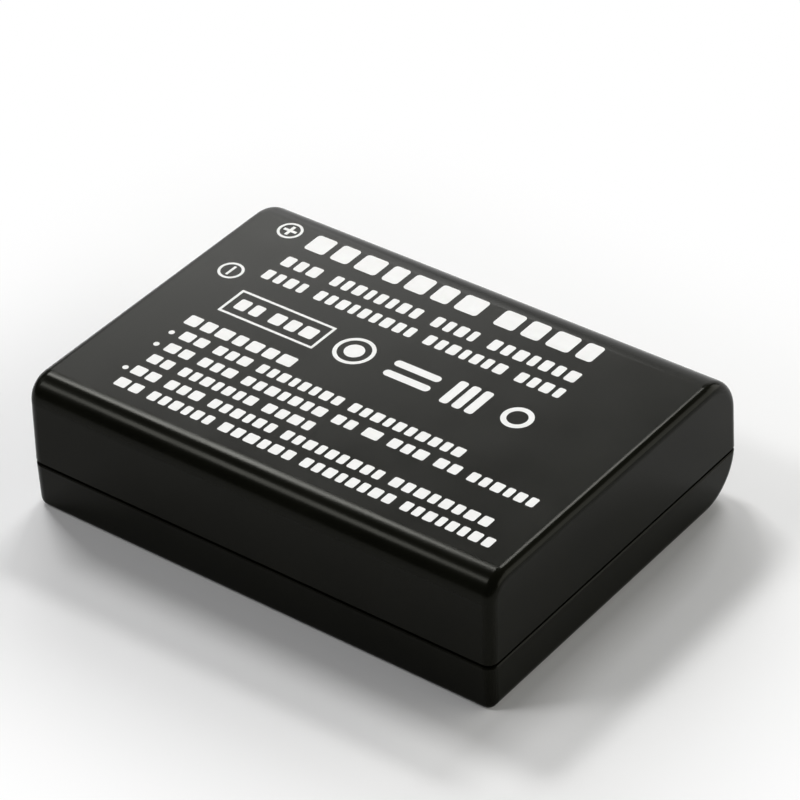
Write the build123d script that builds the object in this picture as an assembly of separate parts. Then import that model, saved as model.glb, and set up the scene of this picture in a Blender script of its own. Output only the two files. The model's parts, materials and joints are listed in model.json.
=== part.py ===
from build123d import *
import os
from math import cos, radians, tan

# Camera battery: a welded two-part case round two flat cells and a protection board.
# Millimetres. X runs along the pack from the contact end to the plain end, Y runs across it to the
# rounded keyed side, and Z rises from the face it rests on to the printed face.

# Case, outside
pack_length = 53.0
pack_width = 38.4
pack_height = 14.0
parting_height = 4.85
reveal_gap = 0.3
front_upper_draft = 2.8
front_lower_draft = 0.5
keyed_upper_draft = 1.5
keyed_lower_draft = 7.0
front_top_radius = 2.6
back_top_radius = 4.55
front_bottom_radius = 0.5
keyed_land = 0.1
contact_end_radius = 1.3
plain_end_radius = 1.0
rim_chamfer = 0.1

# Case, walls and the tongue of the weld
side_wall = 1.1
end_wall = 1.1
face_wall = 0.9
least_inner_radius = 0.3
tongue_inset = 0.55
tongue_height = 0.9
tongue_corner_radius = 0.8
tongue_clearance = 0.05

# Foam and tape round the cells
end_pad_thickness = 0.5
top_pad_thickness = 0.5
bottom_pad_thickness = 0.4
tape_thickness = 0.3
pad_margin = 4.0

# Cells, and the ribs that hold them across the case
cell_side_gap = 1.1
cell_edge_flat = 0.5
can_wall = 0.4
can_bottom_bevel = 0.6
lid_recess = 0.2
plug_radius = 0.8
plug_height = 0.12
plug_from_side = 6.0
rib_count = 3
rib_thickness = 0.8
rib_clearance = 0.15

# Cell terminals
gasket_length = 8.0
gasket_width = 3.0
gasket_thickness = 0.4
collar_wall = 0.35
shank_radius = 0.65
shank_depth = 1.2
rivet_length = 6.0
rivet_width = 2.2
rivet_thickness = 0.5
shank_clearance = 0.02

# Paper over the lids
insulator_thickness = 0.2
insulator_margin = 0.4
insulator_corner_radius = 2.0
window_gap = 0.3

# Nickel tabs
tab_thickness = 0.15
tab_width = 2.6
tab_bend_radius = 0.35
tab_foot = 1.8
negative_weld = 3.0
negative_run = 0.7
positive_weld = 2.6
positive_run = 0.4
positive_from_side = 5.4

# Board, and the guides that hold it and stop the cells
board_bay = 4.3
board_standoff = 2.1
board_thickness = 0.8
board_side_gap = 2.6
board_corner_radius = 1.5
board_clearance = 0.1
guide_wall = 0.8
guide_width = 1.8
guide_depth = 1.2
guide_edge_offset = 2.1
guide_row_gap = 1.2
stop_clearance = 0.1

# Contacts and their slots
contact_names = ("positive_contact", "temperature_contact", "data_contact", "negative_contact")
contact_from_keyed_side = 5.9
contact_pitch = 2.74
contact_width = 1.5
contact_thickness = 0.25
contact_bend_radius = 0.3
contact_gap = 0.3
contact_overlap = 0.3
contact_riser = 0.6
contact_foot = 0.8
slot_width = 1.2
slot_height = 4.6
slot_lead_in = 0.25

# Parts on the board, placed from its keyed-side edge and its middle height
lead_thickness = 0.15
lead_reach = 0.9
lead_foot = 0.5
chip_standoff = 0.1
chip_bevel = 0.15
protection_body = (1.6, 2.9, 1.1)
protection_lead_count = 3
protection_lead = (0.95, 0.4)
protection_place = (8.4, 2.4)
transistor_body = (4.4, 3.0, 1.0)
transistor_lead_count = 4
transistor_lead = (0.65, 0.3)
transistor_place = (5.0, -2.6)
chip_cap = 0.3
chip_cap_step = 0.03
resistor_size = (1.6, 0.8, 0.45)
resistor_places = ((4.6, 0.4), (2.4, 0.4), (4.6, 1.8), (2.4, 1.8))
capacitor_size = (1.6, 0.8, 0.8)
capacitor_places = ((4.6, 3.4), (10.0, -0.6))
thermistor_size = (1.0, 0.5, 0.5)
thermistor_place = (2.2, 3.4)

# Heights of the case and of the cells
upper_rim = parting_height + reveal_gap / 2
lower_rim = parting_height - reveal_gap / 2
tongue_top = parting_height + tongue_height
ceiling = pack_height - face_wall
keyed_run = (lower_rim - rim_chamfer - keyed_land) / cos(radians(keyed_lower_draft))
back_bottom_radius = keyed_run / tan(radians(45 - keyed_lower_draft / 2))
pads_and_tape = top_pad_thickness + bottom_pad_thickness + tape_thickness
cell_thickness = (ceiling - face_wall - pads_and_tape) / 2
lower_cell_z = face_wall + bottom_pad_thickness + cell_thickness / 2
upper_cell_z = lower_cell_z + cell_thickness + tape_thickness
cell_corner_radius = (cell_thickness - cell_edge_flat) / 2
cell_width = pack_width - 2 * (side_wall + cell_side_gap)
cells_height = 2 * cell_thickness + tape_thickness
positive_y = positive_from_side - cell_width / 2
plug_y = cell_width / 2 - plug_from_side

# Stations along X, from the contact end to the plain end
contact_end_x = -pack_length / 2
wall_x = contact_end_x + end_wall
contact_face_x = wall_x + contact_gap
rim_x = wall_x + board_bay
board_inner_x = rim_x - board_standoff
board_outer_x = board_inner_x - board_thickness
lid_x = rim_x + lid_recess
rivet_x = lid_x - gasket_thickness - rivet_thickness
plain_wall_x = pack_length / 2 - end_wall
cell_end_x = plain_wall_x - end_pad_thickness
cell_length = cell_end_x - rim_x
cell_middle_x = (rim_x + cell_end_x) / 2

# Board edges and the row of contacts
board_width = pack_width - 2 * (side_wall + board_side_gap)
board_height = ceiling - face_wall - 2 * board_clearance
board_middle_z = (ceiling + face_wall) / 2
board_edge_y = board_width / 2
first_contact_y = pack_width / 2 - contact_from_keyed_side
contact_ys = [first_contact_y - index * contact_pitch for index in range(len(contact_names))]
row_low_y = contact_ys[-1] - contact_width / 2
row_high_y = contact_ys[0] + contact_width / 2
slot_top = upper_rim + slot_height


def prism(sketch, x_from, x_to):
    """Extrude a sketch drawn in Y and Z between two stations along X."""
    return extrude(Plane.YZ.offset(x_from) * sketch, amount=x_to - x_from)


def slab(sketch, z_from, z_to):
    """Extrude a sketch drawn in X and Y between two heights."""
    return extrude(Plane.XY.offset(z_from) * sketch, amount=z_to - z_from)


def bent_strip(points, bend_radius, thickness, width, side, plane):
    """Sheet strip bent along a path in a plane, as wide as stated and centred on that plane."""
    path = FilletPolyline(*points, radius=bend_radius)
    edge_view = make_face(offset(path, amount=thickness, side=side).edges())
    return extrude(plane * edge_view, amount=width / 2, both=True)


def half_section(rim_z, face_z, drafts, front_radius, back_radius, inset):
    """Section of one case half, drawn in Y and Z from its rim to its flat face."""
    rim_y = pack_width / 2 - inset
    front_y, back_y = [rim_y - tan(radians(draft)) * abs(face_z - rim_z) for draft in drafts]
    corners = ((-rim_y, rim_z), (-front_y, face_z), (back_y, face_z), (rim_y, rim_z))
    radii = (0, front_radius, back_radius, 0)
    return make_face(FilletPolyline(*corners, radius=radii, close=True).edges())


def case_half(rim_z, face_z, inner_face_z, drafts, front_radius, back_radius, kept):
    """One moulded half: rounded outside, even wall, and the ribs and guides that stay in the hollow."""
    end_radii = (contact_end_radius, plain_end_radius)
    front_first = front_radius > max(end_radii)
    section = half_section(rim_z, face_z, drafts, front_radius if front_first else 0, back_radius, 0)
    outer = prism(section, contact_end_x, -contact_end_x)
    for end, radius in zip((0, -1), end_radii):
        loop = outer.faces().filter_by(Axis.X).sort_by(Axis.X)[end].edges()
        outer = fillet(loop - outer.edges().filter_by_position(Axis.Z, rim_z, rim_z), radius)
    if not front_first:
        flat = outer.faces().filter_by(Axis.Z).sort_by(lambda face: abs(face.center().Z - rim_z))[-1]
        outer = fillet(flat.edges().sort_by(Axis.Y)[0], front_radius)
    outer = chamfer(outer.edges().filter_by_position(Axis.Z, rim_z, rim_z), rim_chamfer)
    inner_front = max(front_radius - side_wall, least_inner_radius)
    inner_back = max(back_radius - side_wall, least_inner_radius)
    hollow = prism(
        half_section(rim_z, inner_face_z, drafts, inner_front, inner_back, side_wall),
        wall_x,
        plain_wall_x,
    )
    return outer - (hollow - kept)


def tongue_plan(growth):
    """Plan of the tongue's outer face, grown by a clearance."""
    return RectangleRounded(
        pack_length - 2 * (tongue_inset - growth),
        pack_width - 2 * (tongue_inset - growth),
        tongue_corner_radius + growth,
    )


def cell_ribs(z_from, z_to):
    """Ribs along both side walls, standing just clear of the cells."""
    depth = side_wall + cell_side_gap - rib_clearance
    places = GridLocations(cell_length / rib_count, pack_width - depth, rib_count, 2)
    plan = Sketch() + [place * Rectangle(rib_thickness, depth) for place in places]
    return slab(Pos(cell_middle_x, 0) * plan, z_from, z_to)


def board_guides(z_from, z_to):
    """Two slotted blocks that take an edge of the board and stop the cells."""
    outer_x = board_outer_x - board_clearance - guide_wall
    inner_x = rim_x - insulator_thickness - stop_clearance
    length = inner_x - outer_x
    front_y = -board_edge_y + guide_edge_offset
    row_y = row_low_y - guide_row_gap - guide_width / 2
    block = Pos((outer_x + inner_x) / 2, 0) * Rectangle(length, guide_width)
    board_x = (board_outer_x + board_inner_x) / 2
    groove = Pos(board_x, 0) * Rectangle(board_thickness + 2 * board_clearance, guide_width)
    plan = Sketch() + [Pos(0, y) * (block - groove) for y in (front_y, row_y)]
    return slab(plan, z_from, z_to)


def make_upper_case():
    """Printed half, with the groove for the tongue and a slot in front of each contact."""
    kept = cell_ribs(tongue_top, ceiling) + board_guides(ceiling - guide_depth, ceiling)
    drafts = (front_upper_draft, keyed_upper_draft)
    radii = (front_top_radius, back_top_radius)
    case = case_half(upper_rim, pack_height, ceiling, drafts, *radii, kept)
    case -= slab(tongue_plan(tongue_clearance), upper_rim, tongue_top)
    slot = SlotOverall(2 * slot_height, slot_width, rotation=90)
    slots = Sketch() + [Pos(y, upper_rim) * slot for y in contact_ys]
    case -= prism(slots, contact_end_x, wall_x)
    mouth = SlotOverall(2 * (slot_height + slot_lead_in), slot_width + 2 * slot_lead_in, rotation=90)
    for y in contact_ys:
        face = Plane.YZ.offset(contact_end_x) * Pos(y, upper_rim) * mouth
        case -= extrude(face, amount=slot_lead_in, taper=45)
    return case


def make_lower_case():
    """Shallow half that carries the tongue, which is left out behind the contact slots."""
    kept = cell_ribs(face_wall, lower_rim) + board_guides(face_wall, face_wall + guide_depth)
    drafts = (front_lower_draft, keyed_lower_draft)
    radii = (front_bottom_radius, back_bottom_radius)
    case = case_half(lower_rim, 0, face_wall, drafts, *radii, kept)
    inside = Rectangle(pack_length - 2 * end_wall, pack_width - 2 * side_wall)
    tongue = slab(tongue_plan(0) - inside, lower_rim, tongue_top)
    row_width = row_high_y - row_low_y + 2 * slot_lead_in
    row_plan = Rectangle(2 * end_wall, row_width, align=(Align.MIN, Align.CENTER))
    row = Pos(contact_end_x, (row_low_y + row_high_y) / 2) * row_plan
    tongue -= slab(row, lower_rim, tongue_top)
    return case + tongue


def make_cell_can(z):
    """Drawn can with its lid welded in just below the rim, the terminal hole and the filling plug."""
    can = prism(Pos(0, z) * RectangleRounded(cell_width, cell_thickness, cell_corner_radius),
                rim_x, cell_end_x)
    can = chamfer(can.faces().sort_by(Axis.X)[-1].edges(), can_bottom_bevel)
    lid = RectangleRounded(
        cell_width - 2 * can_wall, cell_thickness - 2 * can_wall, cell_corner_radius - can_wall
    )
    can -= prism(Pos(0, z) * lid, rim_x, lid_x)
    can -= prism(Pos(0, z) * Circle(shank_radius + collar_wall), lid_x, lid_x + shank_depth)
    can += prism(Pos(plug_y, z) * Circle(plug_radius), lid_x, lid_x - plug_height)
    return can


def make_gasket(z):
    """Insulator between a terminal and its lid, with a collar down the hole."""
    plate = prism(Pos(0, z) * SlotOverall(gasket_length, gasket_width), lid_x - gasket_thickness, lid_x)
    collar_radius = shank_radius + collar_wall - shank_clearance
    collar = prism(Pos(0, z) * Circle(collar_radius), lid_x, lid_x + shank_depth)
    bore = prism(Pos(0, z) * Circle(shank_radius), lid_x - gasket_thickness, lid_x + shank_depth)
    return plate + collar - bore


def make_rivet(z):
    """Negative terminal: a flat head on the gasket and a shank through it."""
    head = prism(Pos(0, z) * SlotOverall(rivet_length, rivet_width), rivet_x, rivet_x + rivet_thickness)
    shank = Circle(shank_radius - shank_clearance)
    return head + prism(Pos(0, z) * shank, rivet_x + rivet_thickness, lid_x + shank_depth)


def make_positive_tab(z):
    """Strip from a lid out to the board."""
    bend_y = positive_y + positive_weld + positive_run
    foot_x = board_inner_x + tab_thickness
    points = ((lid_x, positive_y), (lid_x, bend_y), (foot_x, bend_y), (foot_x, bend_y + tab_foot))
    return bent_strip(points, tab_bend_radius, tab_thickness, tab_width, Side.LEFT, Plane.XY.offset(z))


def make_negative_tab(z):
    """Strip from a terminal out to the board."""
    start_y = negative_weld / 2
    bend_y = -negative_weld / 2 - negative_run
    foot_x = board_inner_x + tab_thickness
    points = ((rivet_x, start_y), (rivet_x, bend_y), (foot_x, bend_y), (foot_x, bend_y - tab_foot))
    return bent_strip(points, tab_bend_radius, tab_thickness, tab_width, Side.RIGHT, Plane.XY.offset(z))


def make_cap_insulator():
    """One sheet over both lids, with windows for the terminals and the positive tabs."""
    height = cells_height - 2 * insulator_margin
    middle_z = (lower_cell_z + upper_cell_z) / 2
    width = cell_width - 2 * insulator_margin
    sheet = Pos(0, middle_z) * RectangleRounded(width, height, insulator_corner_radius)
    terminal = Rectangle(gasket_length + 2 * window_gap, gasket_width + 2 * window_gap)
    tab_length = positive_weld + positive_run + tab_thickness
    window = Rectangle(tab_length + 2 * window_gap, tab_width + 2 * window_gap)
    window_y = positive_y + tab_length / 2
    for z in (lower_cell_z, upper_cell_z):
        sheet -= Pos(0, z) * terminal
        sheet -= Pos(window_y, z) * window
    return prism(sheet, rim_x - insulator_thickness, rim_x)


def make_contact(y):
    """Contact bent from strip: two feet on the board and a raised face behind its slot."""
    low = upper_rim - contact_overlap
    high = slot_top + contact_overlap
    face_x = contact_face_x + contact_thickness
    points = (
        (board_outer_x, low - contact_riser - contact_foot),
        (board_outer_x, low - contact_riser),
        (face_x, low),
        (face_x, high),
        (board_outer_x, high + contact_riser),
        (board_outer_x, high + contact_riser + contact_foot),
    )
    plane = Plane.XZ.offset(-y)
    return bent_strip(points, contact_bend_radius, contact_thickness, contact_width, Side.LEFT, plane)


def on_board(part, place):
    """Seat a part on the board's inner face, measured from its keyed-side edge and middle height."""
    from_edge, from_middle = place
    seat = Pos(board_edge_y - from_edge, board_middle_z + from_middle)
    return Plane.YZ.offset(board_inner_x) * seat * part


def make_gull_chip(body, lead_count, lead_size):
    """Moulded chip with bent leads along both sides, standing on its leads."""
    width, length, height = body
    pitch, lead_width = lead_size
    chip = slab(Rectangle(width, length), chip_standoff, height)
    chip = chamfer(chip.faces().sort_by(Axis.Z)[-1].edges(), chip_bevel)
    knee_x = width / 2 + lead_reach - lead_foot
    shoulder_z = (chip_standoff + height) / 2
    points = (
        (0, shoulder_z),
        (knee_x, shoulder_z),
        (knee_x, 0),
        (knee_x + lead_foot, 0),
        (knee_x + lead_foot, lead_thickness),
        (knee_x + lead_thickness, lead_thickness),
        (knee_x + lead_thickness, shoulder_z + lead_thickness),
        (0, shoulder_z + lead_thickness),
    )
    lead = extrude(Plane.XZ * make_face(Polyline(*points, close=True)), amount=lead_width / 2, both=True)
    for place in GridLocations(0, pitch, 1, lead_count):
        chip += place * lead
        chip += place * Rot(0, 0, 180) * lead
    return chip


def make_chip_part(size):
    """Small block part with a raised cap at each end."""
    length, width, height = size
    middle = slab(Rectangle(length, width - 2 * chip_cap_step), chip_cap_step, height - chip_cap_step)
    cap = Rectangle(chip_cap, width)
    ends = Sketch() + [Pos(side * (length - chip_cap) / 2, 0) * cap for side in (-1, 1)]
    return middle + slab(ends, 0, height)


def make_cell_sheet():
    """Plan of the flat sheets laid on the cells."""
    return Pos(cell_middle_x, 0) * Rectangle(cell_length - 2 * pad_margin, cell_width - 2 * pad_margin)


sheet = make_cell_sheet()
cell_low_z = face_wall + bottom_pad_thickness
cell_high_z = ceiling - top_pad_thickness
end_sheet = Rectangle(cell_width - 2 * pad_margin, cells_height - 2 * can_bottom_bevel)
board_outline = RectangleRounded(board_width, board_height, board_corner_radius)
protection_chip = make_gull_chip(protection_body, protection_lead_count, protection_lead)
power_transistor = make_gull_chip(transistor_body, transistor_lead_count, transistor_lead)
resistor = make_chip_part(resistor_size)
capacitor = make_chip_part(capacitor_size)

parts = {
    "upper_case": make_upper_case(),
    "lower_case": make_lower_case(),
    "top_pad": slab(sheet, cell_high_z, ceiling),
    "bottom_pad": slab(sheet, face_wall, cell_low_z),
    "end_pad": prism(Pos(0, (cell_low_z + cell_high_z) / 2) * end_sheet, cell_end_x, plain_wall_x),
    "cell_tape": slab(sheet, cell_low_z + cell_thickness, cell_high_z - cell_thickness),
    "cap_insulator": make_cap_insulator(),
    "circuit_board": prism(Pos(0, board_middle_z) * board_outline, board_outer_x, board_inner_x),
    "protection_chip": on_board(protection_chip, protection_place),
    "power_transistor": on_board(power_transistor, transistor_place),
    "thermistor": on_board(make_chip_part(thermistor_size), thermistor_place),
    "resistors": Compound(children=[on_board(resistor, place) for place in resistor_places]),
    "capacitors": Compound(children=[on_board(capacitor, place) for place in capacitor_places]),
}
for cell, z in (("lower_cell", lower_cell_z), ("upper_cell", upper_cell_z)):
    parts[cell + "_can"] = make_cell_can(z)
    parts[cell + "_gasket"] = make_gasket(z)
    parts[cell + "_rivet"] = make_rivet(z)
    parts[cell + "_positive_tab"] = make_positive_tab(z)
    parts[cell + "_negative_tab"] = make_negative_tab(z)
for name, y in zip(contact_names, contact_ys):
    parts[name] = make_contact(y)

os.makedirs("parts", exist_ok=True)
for name, part in parts.items():
    export_step(part, f"parts/{name}.step")
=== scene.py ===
"""Looks of the camera battery: its materials, its print, the studio and the camera."""
import json
import math

import bmesh
import bpy
from mathutils import Matrix, Vector

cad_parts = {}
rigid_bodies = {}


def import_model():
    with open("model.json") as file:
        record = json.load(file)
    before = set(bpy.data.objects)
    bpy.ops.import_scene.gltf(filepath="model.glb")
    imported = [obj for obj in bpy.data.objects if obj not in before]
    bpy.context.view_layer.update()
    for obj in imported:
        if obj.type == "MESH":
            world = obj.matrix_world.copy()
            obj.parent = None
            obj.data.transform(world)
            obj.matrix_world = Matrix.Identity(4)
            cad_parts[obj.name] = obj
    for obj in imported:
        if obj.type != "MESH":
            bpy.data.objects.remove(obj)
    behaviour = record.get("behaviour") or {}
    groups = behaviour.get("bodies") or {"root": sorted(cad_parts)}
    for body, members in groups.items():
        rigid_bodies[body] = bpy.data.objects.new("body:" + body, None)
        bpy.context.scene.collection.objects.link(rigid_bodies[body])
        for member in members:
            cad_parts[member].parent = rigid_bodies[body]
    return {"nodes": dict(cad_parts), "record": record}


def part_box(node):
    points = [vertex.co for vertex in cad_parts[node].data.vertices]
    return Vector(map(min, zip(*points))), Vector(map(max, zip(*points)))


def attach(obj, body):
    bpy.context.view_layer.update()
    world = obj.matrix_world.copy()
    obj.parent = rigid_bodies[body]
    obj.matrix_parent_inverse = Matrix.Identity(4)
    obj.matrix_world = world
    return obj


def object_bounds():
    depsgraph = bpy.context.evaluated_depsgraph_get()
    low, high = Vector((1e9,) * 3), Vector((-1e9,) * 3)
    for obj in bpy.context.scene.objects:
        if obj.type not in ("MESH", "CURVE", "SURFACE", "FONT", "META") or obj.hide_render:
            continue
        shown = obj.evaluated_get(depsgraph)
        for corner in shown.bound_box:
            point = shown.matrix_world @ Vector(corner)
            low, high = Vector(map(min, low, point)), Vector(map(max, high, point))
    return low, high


# Objects of Blender's start-up scene
for left_over in list(bpy.data.objects):
    bpy.data.objects.remove(left_over)

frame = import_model()
cad_low, cad_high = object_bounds()
MM = 0.001
WHITE = (1, 1, 1)


def new_object(name, data):
    """An object in the scene that carries the data."""
    added = bpy.data.objects.new(name, data)
    bpy.context.scene.collection.objects.link(added)
    return added


# Colour sockets of a Mix node, which share their names with its sockets for numbers and vectors
MIX_LOW, MIX_HIGH, MIX_RESULT = 6, 7, 2
NOISE_ROUGHNESS = 0.55
BEVEL_SAMPLES = 6


class Nodes:
    """Short calls to add the nodes of a tree and to fill their inputs."""

    def __init__(self, tree):
        self.tree = tree

    def fill(self, node, values):
        """Give inputs, by name or number, another node's output or a constant. Colours are opaque."""
        for key, value in values.items():
            socket = node.inputs[key]
            if isinstance(value, bpy.types.NodeSocket):
                self.tree.links.new(value, socket)
            elif socket.type == "RGBA":
                socket.default_value = (*value, 1)
            else:
                socket.default_value = value

    def add(self, kind, values=None, **settings):
        """A new node with its settings and inputs."""
        node = self.tree.nodes.new(kind)
        for key, value in settings.items():
            setattr(node, key, value)
        self.fill(node, values or {})
        return node

    def math(self, operation, *operands):
        """Result of an operation on numbers."""
        node = self.add("ShaderNodeMath", dict(enumerate(operands)), operation=operation)
        return node.outputs["Value"]

    def vector(self, operation, *operands):
        """Result of an operation on vectors, which is a number for a dot product or a length."""
        node = self.add("ShaderNodeVectorMath", dict(enumerate(operands)), operation=operation)
        return node.outputs["Value" if operation in ("DOT_PRODUCT", "LENGTH") else "Vector"]

    def noise(self, place, size_mm, detail, stretch=(1, 1, 1)):
        """Noise with features of about the stated size, drawn out along an axis by the stretch."""
        scale = [1 / factor for factor in stretch]
        mapping = self.add("ShaderNodeMapping", {"Vector": place, "Scale": scale})
        texture = self.add("ShaderNodeTexNoise", {
            "Vector": mapping.outputs["Vector"],
            "Scale": 1 / (size_mm * MM),
            "Detail": detail,
            "Roughness": NOISE_ROUGHNESS,
        })
        return texture.outputs["Fac"]

    def ranged(self, value, low, high, span, interpolation="LINEAR"):
        """A value between two limits, as the input runs over a span."""
        limits = {"From Min": span[0], "From Max": span[1], "To Min": low, "To Max": high}
        node = self.add("ShaderNodeMapRange", {"Value": value, **limits}, interpolation_type=interpolation)
        return node.outputs["Result"]

    def blended(self, factor, low, high):
        """A colour between two, which are colours or outputs."""
        node = self.add("ShaderNodeMix", {"Factor": factor, MIX_LOW: low, MIX_HIGH: high}, data_type="RGBA")
        return node.outputs[MIX_RESULT]

    def edge_mask(self, radius_mm, span):
        """One along outer and inner edges, falling to nought within about the radius."""
        bevel = self.add("ShaderNodeBevel", {"Radius": radius_mm * MM}, samples=BEVEL_SAMPLES)
        geometry = self.add("ShaderNodeNewGeometry")
        alike = self.vector("DOT_PRODUCT", bevel.outputs["Normal"], geometry.outputs["Normal"])
        return self.ranged(alike, 1, 0, span)


def new_material(name):
    """A node material, with the calls for its nodes and its shader."""
    material = bpy.data.materials.new(name)
    material.use_nodes = True
    tree = material.node_tree
    return material, Nodes(tree), tree.nodes["Principled BSDF"]


# Spans are of the noise, or of the likeness of two normals, over which a look changes
PATCH_DETAIL, GRAIN_DETAIL, SCUFF_DETAIL = 4, 3, 5
COLOUR_SPAN, GLOSS_SPAN, SCUFF_SPAN, EDGE_SPAN = (0.3, 0.7), (0.35, 0.65), (0.42, 0.68), (0.75, 0.99)
SCUFF_MM = 0.8
RELIEF_STRENGTH = 0.5


def surface(name, dark, light, rough, patch_mm, grain_mm, relief_mm, metallic=0.0, specular=0.5,
            stretch=(1, 1, 1), worn=None, wear_mm=0.25, tint=WHITE):
    """Material whose colour and gloss drift in patches, with a grain in its relief and worn edges."""
    material, nodes, shader = new_material(name)
    place = nodes.add("ShaderNodeTexCoord").outputs["Object"]
    patches = nodes.noise(place, patch_mm, PATCH_DETAIL, stretch)
    grain = nodes.noise(place, grain_mm, GRAIN_DETAIL, stretch)
    colour = nodes.blended(nodes.ranged(patches, 0, 1, COLOUR_SPAN), dark, light)
    if worn:
        edges = nodes.edge_mask(wear_mm, EDGE_SPAN)
        scuffs = nodes.ranged(nodes.noise(place, SCUFF_MM, SCUFF_DETAIL), 0, 1, SCUFF_SPAN)
        colour = nodes.blended(nodes.math("MULTIPLY", edges, scuffs), colour, worn)
    bump = nodes.add("ShaderNodeBump", {
        "Strength": RELIEF_STRENGTH,
        "Distance": relief_mm * MM,
        "Height": grain,
    })
    nodes.fill(shader, {
        "Base Color": colour,
        "Roughness": nodes.ranged(patches, *rough, GLOSS_SPAN),
        "Metallic": metallic,
        "Specular IOR Level": specular,
        "Specular Tint": tint,
        "Normal": bump.outputs["Normal"],
    })
    return material


LOOKS = {
    "case_plastic": dict(
        dark=(0.0034, 0.0035, 0.0020), light=(0.0048, 0.0049, 0.0030), rough=(0.19, 0.225),
        patch_mm=7.0, grain_mm=0.12, relief_mm=0.0008, specular=0.07, tint=(1.0, 1.0, 0.88),
        worn=(0.0080, 0.0080, 0.0070)),
    "foam": dict(
        dark=(0.035, 0.035, 0.036), light=(0.07, 0.07, 0.072), rough=(0.85, 0.97),
        patch_mm=1.2, grain_mm=0.25, relief_mm=0.08),
    "tape": dict(
        dark=(0.62, 0.59, 0.50), light=(0.76, 0.74, 0.66), rough=(0.55, 0.7),
        patch_mm=3.0, grain_mm=0.2, relief_mm=0.01),
    "insulating_paper": dict(
        dark=(0.16, 0.26, 0.21), light=(0.24, 0.35, 0.29), rough=(0.7, 0.85),
        patch_mm=1.5, grain_mm=0.15, relief_mm=0.02, stretch=(1, 3, 1)),
    "board_laminate": dict(
        dark=(0.012, 0.10, 0.04), light=(0.02, 0.17, 0.07), rough=(0.28, 0.4),
        patch_mm=1.6, grain_mm=0.3, relief_mm=0.01),
    "chip_plastic": dict(
        dark=(0.014, 0.014, 0.015), light=(0.03, 0.03, 0.032), rough=(0.5, 0.68),
        patch_mm=0.6, grain_mm=0.06, relief_mm=0.008),
    "chip_ceramic": dict(
        dark=(0.30, 0.22, 0.15), light=(0.46, 0.37, 0.27), rough=(0.45, 0.6),
        patch_mm=0.4, grain_mm=0.05, relief_mm=0.006),
    "contact_gold": dict(
        dark=(0.72, 0.47, 0.15), light=(0.86, 0.62, 0.25), rough=(0.2, 0.33),
        patch_mm=0.7, grain_mm=0.05, relief_mm=0.004, metallic=1.0, stretch=(1, 1, 6),
        worn=(0.9, 0.74, 0.42), wear_mm=0.08),
    "cell_aluminium": dict(
        dark=(0.60, 0.61, 0.62), light=(0.74, 0.75, 0.76), rough=(0.3, 0.42),
        patch_mm=3.0, grain_mm=0.1, relief_mm=0.005, metallic=1.0, stretch=(12, 1, 1),
        worn=(0.82, 0.82, 0.83)),
    "gasket_plastic": dict(
        dark=(0.03, 0.06, 0.15), light=(0.06, 0.10, 0.22), rough=(0.4, 0.55),
        patch_mm=0.8, grain_mm=0.08, relief_mm=0.004),
    "terminal_steel": dict(
        dark=(0.52, 0.51, 0.48), light=(0.66, 0.65, 0.62), rough=(0.25, 0.38),
        patch_mm=0.8, grain_mm=0.06, relief_mm=0.004, metallic=1.0),
    "tab_nickel": dict(
        dark=(0.55, 0.52, 0.46), light=(0.68, 0.65, 0.58), rough=(0.3, 0.42),
        patch_mm=0.9, grain_mm=0.06, relief_mm=0.004, metallic=1.0, stretch=(1, 6, 1)),
    "print_ink": dict(
        dark=(0.80, 0.80, 0.78), light=(0.88, 0.88, 0.87), rough=(0.42, 0.55),
        patch_mm=2.0, grain_mm=0.09, relief_mm=0.004, specular=0.3),
}
materials = {name: surface(name, **look) for name, look in LOOKS.items()}
for part in frame["record"]["subparts"]:
    slots = frame["nodes"][part["node"]].data.materials
    slots.clear()
    slots.append(materials[part["material_slot"]])

# Print on the upper face, in millimetres: rows of plain blocks, with rings and bars. A block's slit and
# rounding are shares of its height, and the blocks of a run take their shares of its length in turn
INK_THICKNESS = 0.012
CORNER_STEPS, RING_STEPS = 3, 48
BLOCK_SLIT, BLOCK_ROUNDING = 0.29, 0.14
BLOCK_SHARES = (1.0, 0.92, 1.08, 0.84, 1.0, 0.9, 1.1)
top_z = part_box("upper_case")[1].z / MM


def beside(place, dx, dy):
    """A place moved along and across the rows."""
    return (place[0] + dx, place[1] + dy)


def arc(centre, radius, start, sweep, steps):
    """Points along an arc, angles in degrees."""
    angles = [math.radians(start + sweep * step / steps) for step in range(steps + 1)]
    return [beside(centre, radius * math.cos(angle), radius * math.sin(angle)) for angle in angles]


def block(centre, size, radius):
    """Outline of a rectangle with rounded corners, anticlockwise."""
    half_x, half_y = size[0] / 2 - radius, size[1] / 2 - radius
    points = []
    for index, (sx, sy) in enumerate(((1, 1), (-1, 1), (-1, -1), (1, -1))):
        corner = beside(centre, sx * half_x, sy * half_y)
        points += arc(corner, radius, 90 * index, 90, CORNER_STEPS)
    return points


def circle(centre, radius):
    """Outline of a circle, anticlockwise."""
    return arc(centre, radius, 0, 360, RING_STEPS)[:-1]


def ring(centre, outer_radius, inner_radius):
    """Outer and inner outlines of a ring."""
    return circle(centre, outer_radius), circle(centre, inner_radius)


def row(left, middle, height, pitch, runs, gap):
    """Runs of blocks in a row, one run for each length, cut up at about the pitch."""
    slit, blocks = BLOCK_SLIT * height, []
    for length in runs:
        count = max(1, round(length / pitch))
        shares = [BLOCK_SHARES[index % len(BLOCK_SHARES)] for index in range(count)]
        unit = (length + slit) / sum(shares)
        start = left
        for share in shares:
            width = unit * share - slit
            blocks.append(block((start + width / 2, middle), (width, height), BLOCK_ROUNDING * height))
            start += unit * share
        left += length + gap
    return blocks


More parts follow.
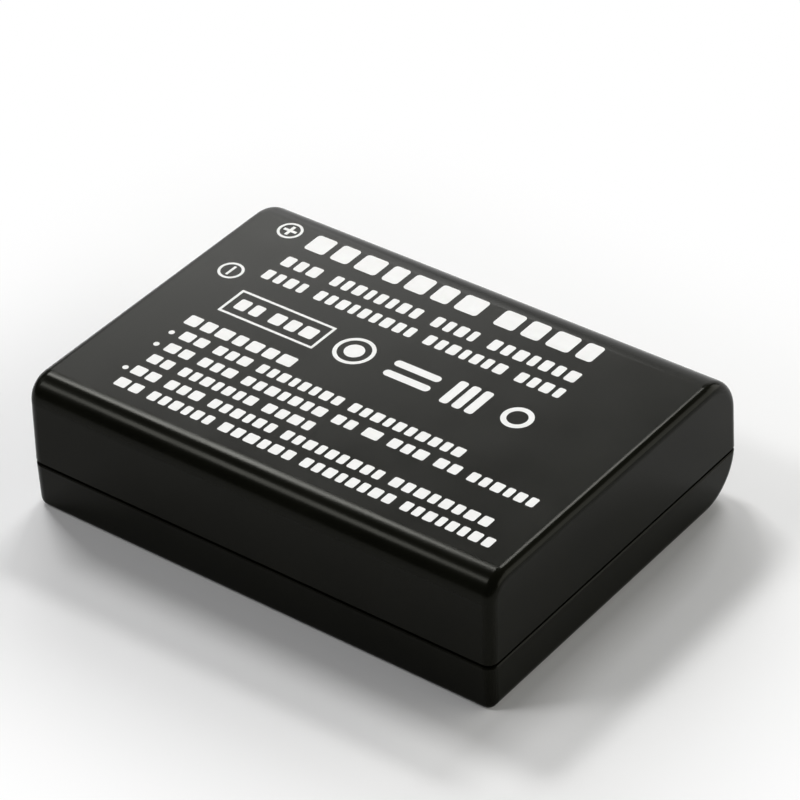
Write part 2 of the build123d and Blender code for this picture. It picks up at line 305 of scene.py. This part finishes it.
def lay_ink(name, filled, framed=()):
    """One piece of print: closed thin plates from filled outlines, and from pairs of outer and inner ones."""
    bm = bmesh.new()

    def feet_and_tops(outline):
        levels = (top_z, top_z + INK_THICKNESS)
        return [[bm.verts.new((x * MM, y * MM, z * MM)) for x, y in outline] for z in levels]

    def walls(lower, upper):
        for index in range(len(lower)):
            after = (index + 1) % len(lower)
            bm.faces.new((lower[index], lower[after], upper[after], upper[index]))

    for outline in filled:
        lower, upper = feet_and_tops(outline)
        bm.faces.new(upper)
        bm.faces.new(lower[::-1])
        walls(lower, upper)
    for outer, inner in framed:
        low_out, up_out = feet_and_tops(outer)
        low_in, up_in = feet_and_tops(inner)
        walls(low_out, up_out)
        walls(up_in, low_in)
        walls(up_out, up_in)
        walls(low_in, low_out)
    mesh = bpy.data.meshes.new(name)
    bm.to_mesh(mesh)
    bm.free()
    mesh.materials.append(materials["print_ink"])
    piece = new_object(name, mesh)
    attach(piece, "root")


# Signs of the two poles, in line with their contacts. The plus is a bar with a stub above and below it
PLUS_PLACE, MINUS_PLACE = (-21.15, 13.6), (-21.65, 5.25)
SIGN_RADIUS, SIGN_STROKE, SIGN_ARM, SIGN_CORNER = 1.3, 0.28, 1.5, 0.04
PLUS_STROKE, STUB_LENGTH, STUB_STEP = 0.34, 0.58, 0.46
signs = [
    block(MINUS_PLACE, (SIGN_STROKE, SIGN_ARM), SIGN_CORNER),
    block(PLUS_PLACE, (SIGN_ARM, PLUS_STROKE), SIGN_CORNER),
]
for dy in (STUB_STEP, -STUB_STEP):
    signs.append(block(beside(PLUS_PLACE, 0, dy), (PLUS_STROKE, STUB_LENGTH), SIGN_CORNER))
sign_rings = [ring(place, SIGN_RADIUS, SIGN_RADIUS - SIGN_STROKE) for place in (PLUS_PLACE, MINUS_PLACE)]
lay_ink("print_polarity", signs, sign_rings)

lay_ink("print_heading", row(left=-18.3, middle=13.3, height=2.6, pitch=2.94, runs=(20.4, 11.1), gap=1.9))
lay_ink(
    "print_lines",
    row(left=-18.5, middle=9.4, height=1.6, pitch=1.35, runs=(4.3, 10.3, 4.9, 9.8), gap=1.6)
    + row(left=-18.7, middle=6.7, height=1.5, pitch=1.3, runs=(4.9, 11.4, 9.0, 5.0), gap=1.4),
)

BOX_MIDDLE, BOX_SIZE, BOX_STROKE = (-13.03, 1.49), (11.25, 3.85), 0.28
BOX_CORNER, BOX_INNER_CORNER = 0.1, 0.05
box_inner = [side - 2 * BOX_STROKE for side in BOX_SIZE]
lay_ink(
    "print_frame",
    row(left=-17.7, middle=1.45, height=1.65, pitch=1.5, runs=(2.9, 5.2), gap=1.2),
    [(block(BOX_MIDDLE, BOX_SIZE, BOX_CORNER), block(BOX_MIDDLE, box_inner, BOX_INNER_CORNER))],
)

# Marks beside the frame: a disc in a ring, two bars along the row, three across it, and a ring
TARGET_PLACE, TARGET_DISC, TARGET_OUTER, TARGET_INNER = (-3.9, 1.5), 1.0, 2.05, 1.65
PILL_PLACE, PILL_SIZE, PILL_CORNER, PILL_STEP = (2.85, 1.4), (5.2, 0.9), 0.44, 0.85
BAR_PLACE, BAR_SIZE, BAR_CORNER, BAR_STEP = (8.9, 1.5), (0.95, 3.7), 0.3, 1.4
RING_PLACE, RING_OUTER, RING_INNER = (14.5, 1.6), 1.55, 1.0
lay_ink(
    "print_marks",
    [
        circle(TARGET_PLACE, TARGET_DISC),
        *(block(beside(PILL_PLACE, 0, dy), PILL_SIZE, PILL_CORNER) for dy in (PILL_STEP, -PILL_STEP)),
        *(block(beside(BAR_PLACE, dx, 0), BAR_SIZE, BAR_CORNER) for dx in (-BAR_STEP, 0, BAR_STEP)),
    ],
    [ring(TARGET_PLACE, TARGET_OUTER, TARGET_INNER), ring(RING_PLACE, RING_OUTER, RING_INNER)],
)

# Lower rows, each with its left end and the lengths of its runs, and dots before some of them
NOTE_TOP, NOTE_PITCH, NOTE_HEIGHT, NOTE_BLOCK, NOTE_GAP = -5.36, 2.19, 1.3, 1.28, 1.05
NOTE_ROWS = (
    (-18.8, (3.0, 4.1, 9.6, 12.6)),
    (-18.8, (3.0, 4.1, 9.4, 2.4, 1.8, 4.1, 2.6, 7.2)),
    (-19.0, (2.7, 8.8, 5.5)),
    (-19.1, (3.0, 4.1, 7.4, 11.1, 10.8)),
    (-19.2, (2.9, 7.3, 8.3, 10.1, 9.7)),
)
DOTTED_ROWS, DOT_X, DOT_DROP, DOT_RADIUS = (0, 1, 3), -19.85, 0.25, 0.3
notes = row(left=-20.0, middle=-3.1, height=1.5, pitch=1.8, runs=(12.7,), gap=0)
for index, (left, runs) in enumerate(NOTE_ROWS):
    notes += row(left, NOTE_TOP - index * NOTE_PITCH, NOTE_HEIGHT, NOTE_BLOCK, runs, NOTE_GAP)
for index in DOTTED_ROWS:
    notes.append(circle((DOT_X, NOTE_TOP - DOT_DROP - index * NOTE_PITCH), DOT_RADIUS))
lay_ink("print_notes", notes)

# Studio: soft lamps and a floor that turns white beyond the object's shadow. The floor is clear from below,
# and to the very short rays of the face that rests on it, so that this face is lit in views from below
FLOOR_HALF, FLOOR_Z, SHORT_RAY = 1.5, -0.02 * MM, 0.2 * MM
FLOOR_COLOUR, FLOOR_ROUGHNESS = (0.92, 0.92, 0.92), 0.9
WHITE_FROM, WHITE_TO = 11 * MM, 34 * MM
floor_mesh = bpy.data.meshes.new("floor")
corners = [(sx * FLOOR_HALF, sy * FLOOR_HALF, FLOOR_Z) for sx, sy in ((-1, -1), (1, -1), (1, 1), (-1, 1))]
floor_mesh.from_pydata(corners, [], [(0, 1, 2, 3)])
floor = new_object("floor", floor_mesh)
floor_material, nodes, shader = new_material("floor")
nodes.fill(shader, {"Base Color": FLOOR_COLOUR, "Roughness": FLOOR_ROUGHNESS, "Specular IOR Level": 0.0})
rays = nodes.add("ShaderNodeLightPath").outputs
shown = rays["Is Camera Ray"]
for kind in ("Is Glossy Ray", "Is Transmission Ray"):
    shown = nodes.math("MAXIMUM", shown, rays[kind])
outward = nodes.vector("ABSOLUTE", nodes.add("ShaderNodeTexCoord").outputs["Object"])
beyond = nodes.vector("SUBTRACT", outward, (cad_high.x, cad_high.y, 0))
away = nodes.vector("LENGTH", nodes.vector("MAXIMUM", beyond, (0, 0, 0)))
fade = nodes.ranged(away, 0, 1, (WHITE_FROM, WHITE_TO), "SMOOTHSTEP")
white = nodes.add("ShaderNodeEmission", {"Color": WHITE, "Strength": 1.0})
ground = nodes.add("ShaderNodeMixShader", {
    0: nodes.math("MULTIPLY", fade, shown),
    1: shader.outputs["BSDF"],
    2: white.outputs["Emission"],
})
below = nodes.add("ShaderNodeNewGeometry").outputs["Backfacing"]
short = nodes.math("LESS_THAN", rays["Ray Length"], SHORT_RAY)
sides = nodes.add("ShaderNodeMixShader", {
    0: nodes.math("MAXIMUM", below, short),
    1: ground.outputs["Shader"],
    2: nodes.add("ShaderNodeBsdfTransparent").outputs["BSDF"],
})
nodes.fill(floor_material.node_tree.nodes["Material Output"], {"Surface": sides.outputs["Shader"]})
floor_mesh.materials.append(floor_material)

# World: faint from above, where the lamps are, and stronger from below. The horizon is a span of heights
WORLD_COLOUR, LIGHT_BELOW, LIGHT_ABOVE, HORIZON = (0.98, 0.98, 1.0), 0.45, 0.1, (-0.03, -0.01)
world = bpy.data.worlds.new("studio")
bpy.context.scene.world = world
world.use_nodes = True
nodes = Nodes(world.node_tree)
direction = nodes.add("ShaderNodeTexCoord").outputs["Generated"]
height = nodes.add("ShaderNodeSeparateXYZ", {"Vector": direction}).outputs["Z"]
nodes.fill(world.node_tree.nodes["Background"], {
    "Color": WORLD_COLOUR,
    "Strength": nodes.ranged(height, LIGHT_BELOW, LIGHT_ABOVE, HORIZON),
})

# Lamps: azimuth from +X towards +Y, elevation, half width and half height in degrees, radiance and colour
LAMP_DISTANCE = 2.0
WARM = (1.0, 0.99, 0.93)
LAMPS = {
    "back_panel": (131.5, 32.0, 7.8, 2.5, 11.2, WHITE),
    "back_apron": (131.5, 20.0, 9, 10, 3.0, WHITE),
    "end_apron": (108, 20.0, 12, 10, 1.2, WHITE),
    "back_wall": (146, 5.0, 22, 5, 2.0, WHITE),
    "end_wall": (106, 5.0, 18, 5, 0.9, WHITE),
    "back_strip": (149.5, 50.5, 7.2, 4.0, 33.0, WHITE),
    "end_strip": (105, 49.6, 8, 3.0, 28.0, WHITE),
    "front_strip": (-140, 46.5, 6.5, 6.0, 11.5, WHITE),
    "left_panel": (-156, 40, 18, 13, 0.95, WHITE),
    "side_panel": (42, 16, 39, 15, 2.9, WARM),
}


def lamp(name, azimuth, elevation, half_width, half_height, radiance, colour):
    """Soft panel that faces the object, placed and sized by angles in degrees, and unseen by the camera."""
    a, e = math.radians(azimuth), math.radians(elevation)
    direction = Vector((math.cos(a) * math.cos(e), math.sin(a) * math.cos(e), math.sin(e)))
    data = bpy.data.lights.new(name, "AREA")
    data.shape = "RECTANGLE"
    data.color = colour
    data.size = 2 * LAMP_DISTANCE * math.tan(math.radians(half_width))
    data.size_y = 2 * LAMP_DISTANCE * math.tan(math.radians(half_height))
    data.energy = radiance * math.pi * data.size * data.size_y
    panel = new_object(name, data)
    panel.location = direction * LAMP_DISTANCE
    panel.rotation_mode = "QUATERNION"
    panel.rotation_quaternion = direction.to_track_quat("Z", "Y")
    panel.visible_camera = False


for name, settings in LAMPS.items():
    lamp(name, *settings)

# Camera, fitted to the photograph's outline, in millimetres and pixels of a square picture
AZIMUTH, ELEVATION, ROLL = math.radians(39.351), math.radians(36.594), math.radians(-3.293)
DISTANCE, FOCAL_PIXELS, PICTURE_PIXELS, SENSOR = 353.14, 3837.81, 800, 36.0
AXIS_RIGHT, AXIS_UP, MIDDLE_HEIGHT = 1.672, 3.168, 7.0
CLIP_START, CLIP_END = 0.01, 10
back = Vector((
    math.sin(AZIMUTH) * math.cos(ELEVATION), -math.cos(AZIMUTH) * math.cos(ELEVATION), math.sin(ELEVATION)))
level_right = Vector((math.cos(AZIMUTH), math.sin(AZIMUTH), 0))
level_up = back.cross(level_right)
right = math.cos(ROLL) * level_right + math.sin(ROLL) * level_up
up = back.cross(right)
eye = Vector((0, 0, MIDDLE_HEIGHT)) + AXIS_RIGHT * right + AXIS_UP * up + DISTANCE * back
camera_data = bpy.data.cameras.new("camera")
camera_data.sensor_width = SENSOR
camera_data.lens = FOCAL_PIXELS / PICTURE_PIXELS * SENSOR
camera_data.clip_start, camera_data.clip_end = CLIP_START, CLIP_END
camera = new_object("camera", camera_data)
camera.matrix_world = Matrix.Translation(eye * MM) @ Matrix((right, up, back)).transposed().to_4x4()
bpy.context.scene.camera = camera
bpy.context.scene.view_settings.view_transform = "Standard"
